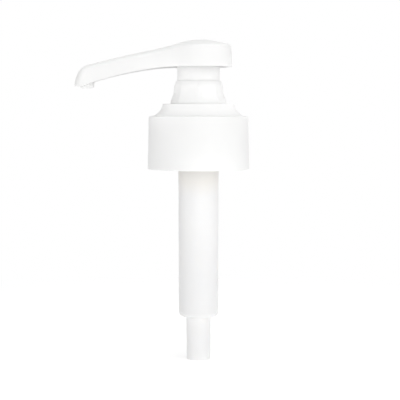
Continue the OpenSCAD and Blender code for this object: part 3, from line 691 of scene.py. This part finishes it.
class PUMP_OT_collar(bpy.types.Operator):
    """Model the ribbed locking collar"""
    bl_idname = "pump.collar"
    bl_label = "Locking collar"

    def execute(self, context):
        sizes = context.scene.pump_cap
        foot_r = COLLAR_HIGH.x
        top = COLLAR_HIGH.z - LIP_DROP
        bore = HUB_HIGH.x + RUN_GAP
        shank = bore + 1 * MM
        lip = bore + 0.45 * MM
        seat = CLOSURE_HIGH.z - SHOULDER_DROP + FOOT_GAP
        plug = context.scene.pump_barrel.bore - SLIDE_GAP
        tight = BARREL_HIGH.z
        guide = GUIDE_HIGH.x + PRESS_GAP
        wiper = WIPER_HIGH.x + PRESS_GAP
        neck = (sizes.collar_neck, COLLAR_HIGH.z - 2.2 * MM)
        foot = (foot_r, seat + 0.6 * MM)
        lug = (COLLAR_HIGH.z - 3.3 * MM, COLLAR_HIGH.z - 2 * MM)
        bm = bmesh.new()
        spin_profile(bm, [(guide, COLLAR_LOW.z), (plug, COLLAR_LOW.z), (plug, tight), (shank, tight),
                          (shank, seat), (foot_r, seat)]
                     + hollow_arc(foot, neck, sizes.collar_bend, 10)
                     + [(lip, top), (bore, top), (bore, lug[1]), (bore, lug[0]),
                        (bore, WIPER_HIGH.z), (wiper, WIPER_HIGH.z), (wiper, WIPER_LOW.z),
                        (guide, WIPER_LOW.z)])
        self.add_ribs(bm, sizes, foot[1] + 0.1 * MM, neck[1] - 0.3 * MM)
        self.add_lugs(bm, bore, lug)
        round_edges(bm, 0.2 * MM, least=35, keep=lambda e: max(v.co.z for v in e.verts) > seat + 0.1 * MM)
        piece = new_piece("ribbed_collar", bm, finish_of("white_moulding"), "pump_engine")
        stand_for("locking_collar")
        return {"FINISHED"}

    def add_ribs(self, bm, sizes, low, high):
        """Raises soft upright ribs on the collar's flare, which fade out at both ends."""
        half_rib = 1.5 * FULL_TURN / SPIN_STEPS
        skin = sizes.collar_neck - 0.4 * MM
        pitch = FULL_TURN / sizes.rib_count
        for vert in bm.verts:
            turn = (math.atan2(vert.co.y, vert.co.x) + math.pi / 2) % pitch
            outside = vert.co.xy.length > skin
            if outside and low < vert.co.z < high and min(turn, pitch - turn) < half_rib:
                vert.co += Vector((vert.co.x, vert.co.y, 0)).normalized() * sizes.rib_proud

    def add_lugs(self, bm, bore, heights):
        """Draws out the two lugs in the bore that run in the hub's groove."""
        half_width = 2.5 * MM
        proud = 0.75 * MM

        def in_lug(point):
            inside = abs(point.xy.length - bore) < 0.1 * MM and abs(point.y) < half_width
            return inside and heights[0] < point.z < heights[1]

        faces = [f for f in bm.faces if in_lug(f.calc_center_median())]
        made = bmesh.ops.extrude_face_region(bm, geom=faces)
        bmesh.ops.delete(bm, geom=faces, context="FACES")
        for part in made["geom"]:
            if isinstance(part, bmesh.types.BMVert):
                part.co.xy *= 1 - proud / bore


class PUMP_OT_closure(bpy.types.Operator):
    """Model the threaded closure with its flared shoulder"""
    bl_idname = "pump.closure"
    bl_label = "Threaded closure"

    def execute(self, context):
        sizes = context.scene.pump_cap
        outer = sizes.cap_bore - RUN_GAP
        ledge = CAP_HIGH.z - sizes.cap_plate
        top = CLOSURE_HIGH.z - SHOULDER_DROP
        low = CLOSURE_LOW.z + RIM_LIFT
        foot = CAP_HIGH.z + 0.7 * MM
        plate = ledge - 1.75 * MM
        bore = 10.2 * MM
        wall = 1.4 * MM
        core = (bore + wall, sizes.shoulder_top - wall)
        bm = bmesh.new()
        spin_profile(bm, [(sizes.thread_root, low), (outer, low), (outer, ledge),
                          (sizes.shoulder_foot, ledge)]
                     + hollow_arc((sizes.shoulder_foot, foot), (sizes.shoulder_top, top),
                                  sizes.shoulder_bend, 14)
                     + [(bore, top), (bore, plate), (core[0], plate), (core[0], top - wall),
                        (core[1], top - wall), (core[1], plate), (sizes.thread_root, plate)])
        round_edges(bm, 0.25 * MM)
        self.add_thread(bm, sizes)
        piece = new_piece("closure_shell", bm, finish_of("white_moulding"), "screw_cap")
        stand_for("threaded_closure")
        return {"FINISHED"}

    def add_thread(self, bm, sizes):
        """Winds the neck thread as one swept rib that fades out at both ends."""
        turns = 1.6
        start = -2.6 * MM
        fade = 0.12
        steps = 72
        sunk = 0.3 * MM
        root = sizes.thread_root + sunk
        crest = sizes.thread_root - sizes.thread_height
        old = set(bm.verts)
        rib = [bm.verts.new((r, 0, start + h * sizes.thread_pitch))
               for r, h in ((root, 0.25), (crest, 0.1), (crest, -0.1), (root, -0.25))]
        face = bm.faces.new(rib)
        bmesh.ops.spin(bm, geom=[face, *face.edges, *rib], cent=(0, 0, 0), axis=(0, 0, 1),
                       dvec=(0, 0, -sizes.thread_pitch / steps), angle=FULL_TURN * turns,
                       steps=round(steps * turns))
        fresh = [v for v in bm.verts if v not in old]
        for vert in fresh:
            gone = (start - vert.co.z) / sizes.thread_pitch
            share = max(0.02, min(1, (gone + 0.1) / fade, (turns - gone + 0.1) / fade))
            if vert.co.xy.length < sizes.thread_root:
                r = sizes.thread_root - sizes.thread_height * share
                vert.co.xy = vert.co.xy.normalized() * r
        faces = list({f for v in fresh for f in v.link_faces})
        bmesh.ops.recalc_face_normals(bm, faces=faces)


class PUMP_OT_cap(bpy.types.Operator):
    """Model the wide smooth outer cap"""
    bl_idname = "pump.cap"
    bl_label = "Outer cap"

    def execute(self, context):
        sizes = context.scene.pump_cap
        rim_r = CAP_HIGH.x
        hole = sizes.shoulder_foot + RUN_GAP
        edge = CAP_HIGH.z - 0.1 * MM
        crest = CAP_HIGH.z + 0.55 * MM
        ledge = CAP_HIGH.z - sizes.cap_plate
        low = CAP_LOW.z + RIM_LIFT
        skin = 21 * MM
        bm = bmesh.new()
        spin_profile(bm, [(sizes.cap_bore, low), (rim_r, low), (sizes.cap_top, edge), (hole, crest),
                          (hole, ledge), (sizes.cap_bore, ledge)])
        round_edges(bm, 0.4 * MM, segments=5, keep=lambda e: min(v.co.xy.length for v in e.verts) > skin)
        round_edges(bm, 0.15 * MM, least=60)
        piece = new_piece("smooth_cap", bm, finish_of("white_moulding"), "screw_cap")
        stand_for("outer_cap")
        return {"FINISHED"}


# Barrel, spring and working parts


class PUMP_OT_barrel(bpy.types.Operator):
    """Model the milky barrel with its flange and dip tube socket"""
    bl_idname = "pump.barrel"
    bl_label = "Barrel"

    def execute(self, context):
        sizes = context.scene.pump_barrel
        mouth = BARREL_LOW.z
        neck_top = BARREL_HIGH.z
        flange_r = BARREL_HIGH.x
        flange = (1.5 * MM, 3 * MM)
        taper_top = VENT_HEIGHT - 3 * MM
        neck = sizes.bore + 2.1 * MM
        inlet = 2.2 * MM
        stop = sizes.bottom - 3 * MM
        floor = sizes.bottom + sizes.floor
        e = sizes.edge
        bm = bmesh.new()
        spin_profile(bm, [(sizes.socket_bore, mouth), (sizes.socket_mouth, mouth),
                          (sizes.socket_root, sizes.bottom)]
                     + arc((sizes.low - e, sizes.bottom + e), e, -90, 0, 8)
                     + [(sizes.top, taper_top), (sizes.top, flange[0]), (flange_r, flange[0]),
                        (flange_r, flange[1]), (neck, flange[1]), (neck, neck_top), (sizes.bore, neck_top),
                        (sizes.bore, taper_top), (sizes.bore, floor), (inlet, floor),
                        (inlet, stop), (sizes.socket_bore, stop)])
        round_edges(bm, 0.3 * MM, least=40)
        piece = new_piece("milky_barrel", bm, finish_of("barrel_moulding"), weighted=False)
        self.pierce(context, piece, sizes)
        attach(piece, "pump_engine")
        stand_for("pump_barrel")
        return {"FINISHED"}

    def pierce(self, context, piece, sizes):
        """Cuts the vent hole through the barrel's back, under the cap."""
        bm = bmesh.new()
        turn = Matrix.Translation((0, sizes.top, VENT_HEIGHT)) @ TIP_OVER.to_4x4()
        bmesh.ops.create_cone(bm, cap_ends=True, segments=24, radius1=sizes.vent, radius2=sizes.vent,
                              depth=4 * MM, matrix=turn)
        cutter = new_piece("vent_cutter", bm, finish_of("barrel_moulding"), weighted=False)
        cut = piece.modifiers.new("Vent", "BOOLEAN")
        cut.operation = "DIFFERENCE"
        cut.solver = "EXACT"
        cut.object = cutter
        context.view_layer.update()
        apply_modifiers(piece)
        bpy.data.objects.remove(cutter)
        even_shading(piece)


class PUMP_OT_spring(bpy.types.Operator):
    """Wind the return spring between the piston and the inlet cage"""
    bl_idname = "pump.spring"
    bl_label = "Return spring"

    def execute(self, context):
        sizes = context.scene.pump_barrel
        wire = sizes.wire
        r = SPRING_HIGH.x - wire / 2
        low = SPRING_LOW.z + wire / 2
        rise = SPRING_HIGH.z - SPRING_LOW.z - wire
        steps = 40
        dead = 1.03 * wire  # pitch of the end coils, which all but touch
        open_pitch = (rise - 2 * dead) / sizes.coils
        bm = bmesh.new()
        ring = bmesh.ops.create_circle(bm, segments=WIRE_SIDES, radius=wire / 2, cap_ends=True)["verts"]
        bmesh.ops.rotate(bm, verts=ring, cent=(0, 0, 0), matrix=TIP_OVER)
        bmesh.ops.translate(bm, verts=ring, vec=(r, 0, low))
        edges = {e for v in ring for e in v.link_edges}
        faces = {f for v in ring for f in v.link_faces}
        geom = [*ring, *edges, *faces]
        for turns, pitch in ((1, dead), (sizes.coils, open_pitch), (1, dead)):
            made = bmesh.ops.spin(bm, geom=geom, cent=(0, 0, 0), axis=(0, 0, 1), dvec=(0, 0, pitch / steps),
                                  angle=FULL_TURN * turns, steps=steps * turns)
            geom = made["geom_last"]
        bmesh.ops.recalc_face_normals(bm, faces=bm.faces)
        piece = new_piece("wound_spring", bm, finish_of("stainless_steel"), weighted=False)
        self.blend_by_sections(piece)
        stand_for("return_spring")
        return {"FINISHED"}

    def blend_by_sections(self, piece):
        """Sets each of the wire's sections to its mean height, applies the piece's placement to its mesh,
        and puts the heights back.
        """
        verts = piece.data.vertices
        heights = [v.co.z for v in verts]
        for i, vert in enumerate(verts):
            first = i - i % WIRE_SIDES
            vert.co.z = sum(heights[first:first + WIRE_SIDES]) / WIRE_SIDES
        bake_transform(piece)
        for vert, height in zip(verts, heights):
            vert.co.z = height


class PUMP_OT_working_parts(bpy.types.Operator):
    """Finish the hub, the stem, the piston, the valves and the seals"""
    bl_idname = "pump.working_parts"
    bl_label = "Working parts"

    def execute(self, context):
        dress("white_moulding", "lock_hub", "spout_tube")
        dress("inner_moulding", "plunger_stem", "piston_core", "piston_retainer", "stem_guide",
              "outlet_ball_retainer", "inlet_ball_cage")
        dress("seal_elastomer", "piston_seal", "stem_wiper", "neck_gasket")
        dress("stainless_steel", "outlet_ball", "inlet_ball")
        return {"FINISHED"}


# Studio


SPOT_BLEND = 0.6
FLOOR_HALF = 3
FLOOR_GLOW = (0.32, 0.42)
FLOOR_FADE = (0.11, 0.3)


def add_lamp(name, place, aim, size, power, cone=0):
    """A square soft lamp that points at a place, or a spot lamp with a narrow cone in degrees."""
    lamp = bpy.data.lights.new(name, "SPOT" if cone else "AREA")
    if cone:
        lamp.spot_size = math.radians(cone)
        lamp.spot_blend = SPOT_BLEND
        lamp.shadow_soft_size = size
    else:
        lamp.size = size
    lamp.energy = power
    holder = bpy.data.objects.new(name, lamp)
    holder.location = place
    holder.rotation_euler = (Vector(aim) - Vector(place)).to_track_quat("-Z", "Y").to_euler()
    bpy.context.scene.collection.objects.link(holder)


def seen_directly(tree):
    """One for what the camera, a reflection or clear material shows, zero for light that falls on things."""
    path = tree.nodes.new("ShaderNodeLightPath")
    both = tree.nodes.new("ShaderNodeMath")
    both.operation = "MAXIMUM"
    every = tree.nodes.new("ShaderNodeMath")
    every.operation = "MAXIMUM"
    tree.links.new(path.outputs["Is Camera Ray"], both.inputs[0])
    tree.links.new(path.outputs["Is Glossy Ray"], both.inputs[1])
    tree.links.new(both.outputs[0], every.inputs[0])
    tree.links.new(path.outputs["Is Transmission Ray"], every.inputs[1])
    return every.outputs[0]


class PUMP_OT_stage(bpy.types.Operator):
    """Set up the floor, the light and the camera"""
    bl_idname = "pump.stage"
    bl_label = "Stage"

    def execute(self, context):
        studio = context.scene.pump_studio
        context.scene.view_settings.view_transform = "Standard"
        self.add_camera(context, studio)
        self.add_world(context, studio)
        middle = (CAD_BOX[0] + CAD_BOX[1]) / 2
        add_lamp("key_lamp", (0.05, -1, 0.1), middle, 1.8, studio.key)
        add_lamp("side_lamp", (0.9, -0.35, 0.12), middle, 0.6, studio.side)
        add_lamp("top_lamp", (0.1, -0.1, 0.8), middle, 0.7, studio.top)
        add_lamp("fill_lamp", (-0.9, -0.6, 0.02), (0, 0, 0.02), 0.6, studio.fill)
        add_lamp("left_spot", (-0.6, -0.5, -0.075), (0, 0, 18.5 * MM), 0.005, studio.spot, cone=2.2)
        add_lamp("right_spot", (0.7, -0.28, 0.065), (0, 0, 17 * MM), 0.005, 0.85 * studio.spot, cone=2.1)
        add_lamp("barrel_spot", (0.2, -0.57, -0.09), (0, 0, -28 * MM), 0.01, 0.55 * studio.spot, cone=4.2)
        add_lamp("low_spot", (0.2, -0.57, -0.07), (0, 0, -64 * MM), 0.01, 0.28 * studio.spot, cone=6.4)
        self.add_floor()
        return {"FINISHED"}

    def add_camera(self, context, studio):
        """Places the camera in front of the pump, a little above the cap."""
        data = bpy.data.cameras.new("camera")
        data.lens = studio.lens
        data.clip_start = 0.01
        camera = bpy.data.objects.new("camera", data)
        camera.location = (studio.aim_side, -studio.distance, studio.eye)
        aim = Vector((studio.aim_side, 0, studio.aim_height))
        camera.rotation_euler = (aim - camera.location).to_track_quat("-Z", "Y").to_euler()
        context.scene.collection.objects.link(camera)
        context.scene.camera = camera

    def add_world(self, context, studio):
        """White to look at, and an even light on the pump."""
        world = bpy.data.worlds.new("studio")
        world.use_nodes = True
        tree = world.node_tree
        light = tree.nodes["Background"]
        light.inputs["Color"].default_value = WHITE
        light.inputs["Strength"].default_value = studio.ambient
        white = tree.nodes.new("ShaderNodeBackground")
        white.inputs["Color"].default_value = WHITE
        mix = tree.nodes.new("ShaderNodeMixShader")
        tree.links.new(seen_directly(tree), mix.inputs["Fac"])
        tree.links.new(light.outputs[0], mix.inputs[1])
        tree.links.new(white.outputs[0], mix.inputs[2])
        tree.links.new(mix.outputs[0], tree.nodes["World Output"].inputs["Surface"])
        context.scene.world = world

    def add_floor(self):
        """A wide pale floor that turns to plain white away from the pump."""
        bm = bmesh.new()
        bmesh.ops.create_grid(bm, x_segments=1, y_segments=1, size=FLOOR_HALF)
        bmesh.ops.translate(bm, verts=bm.verts, vec=(0, 0, CAD_BOX[0].z))
        material, tree, main = shader("pale_floor")
        main.inputs["Base Color"].default_value = (0.9, 0.9, 0.9, 1)
        main.inputs["Roughness"].default_value = 0.9
        main.inputs["Specular IOR Level"].default_value = 0.1
        main.inputs["Emission Color"].default_value = WHITE
        direct = seen_directly(tree)
        glow = tree.nodes.new("ShaderNodeMapRange")
        glow.inputs["To Min"].default_value = FLOOR_GLOW[0]
        glow.inputs["To Max"].default_value = FLOOR_GLOW[1]
        tree.links.new(direct, glow.inputs["Value"])
        tree.links.new(glow.outputs["Result"], main.inputs["Emission Strength"])
        place = tree.nodes.new("ShaderNodeTexCoord")
        far = tree.nodes.new("ShaderNodeVectorMath")
        far.operation = "LENGTH"
        tree.links.new(place.outputs["Object"], far.inputs[0])
        away = tree.nodes.new("ShaderNodeMapRange")
        away.interpolation_type = "SMOOTHSTEP"
        away.inputs["From Min"].default_value = FLOOR_FADE[0]
        away.inputs["From Max"].default_value = FLOOR_FADE[1]
        tree.links.new(far.outputs["Value"], away.inputs["Value"])
        share = tree.nodes.new("ShaderNodeMath")
        share.operation = "MULTIPLY"
        tree.links.new(away.outputs["Result"], share.inputs[0])
        tree.links.new(direct, share.inputs[1])
        white = tree.nodes.new("ShaderNodeEmission")
        mix = tree.nodes.new("ShaderNodeMixShader")
        tree.links.new(share.outputs[0], mix.inputs["Fac"])
        tree.links.new(main.outputs[0], mix.inputs[1])
        tree.links.new(white.outputs[0], mix.inputs[2])
        tree.links.new(mix.outputs[0], tree.nodes["Material Output"].inputs["Surface"])
        floor = new_piece("floor", bm, material, weighted=False)


class VIEW3D_PT_pump(bpy.types.Panel):
    """Offers the pump's operators and settings in the sidebar"""
    bl_label = "Syrup pump"
    bl_space_type = "VIEW_3D"
    bl_region_type = "UI"
    bl_category = "Pump"

    def draw(self, context):
        for operator in OPERATORS:
            self.layout.operator(operator.bl_idname)
        for group in GROUPS:
            settings = getattr(context.scene, group)
            box = self.layout.box()
            for name in settings.bl_rna.properties.keys():
                if name not in ("name", "rna_type"):
                    box.prop(settings, name)


GROUPS = {
    "pump_head": PumpHeadSizes,
    "pump_cap": PumpCapSizes,
    "pump_barrel": PumpBarrelSizes,
    "pump_finishes": PumpFinishes,
    "pump_studio": PumpStudio,
}
OPERATORS = (PUMP_OT_stage, PUMP_OT_head, PUMP_OT_nozzle, PUMP_OT_collar, PUMP_OT_closure, PUMP_OT_cap,
             PUMP_OT_barrel, PUMP_OT_spring, PUMP_OT_working_parts)


def register():
    """Registers the classes and puts the settings on the scene."""
    for cls in (*GROUPS.values(), *OPERATORS, VIEW3D_PT_pump):
        bpy.utils.register_class(cls)
    for name, group in GROUPS.items():
        setattr(bpy.types.Scene, name, PointerProperty(type=group))


def unregister():
    """Takes the settings and the classes away again."""
    for name in GROUPS:
        delattr(bpy.types.Scene, name)
    for cls in reversed((*GROUPS.values(), *OPERATORS, VIEW3D_PT_pump)):
        bpy.utils.unregister_class(cls)


def main():
    """Registers the add-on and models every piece."""
    register()
    for operator in OPERATORS:
        getattr(bpy.ops.pump, operator.bl_idname.split(".")[1])()
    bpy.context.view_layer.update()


if __name__ == "__main__":
    main()
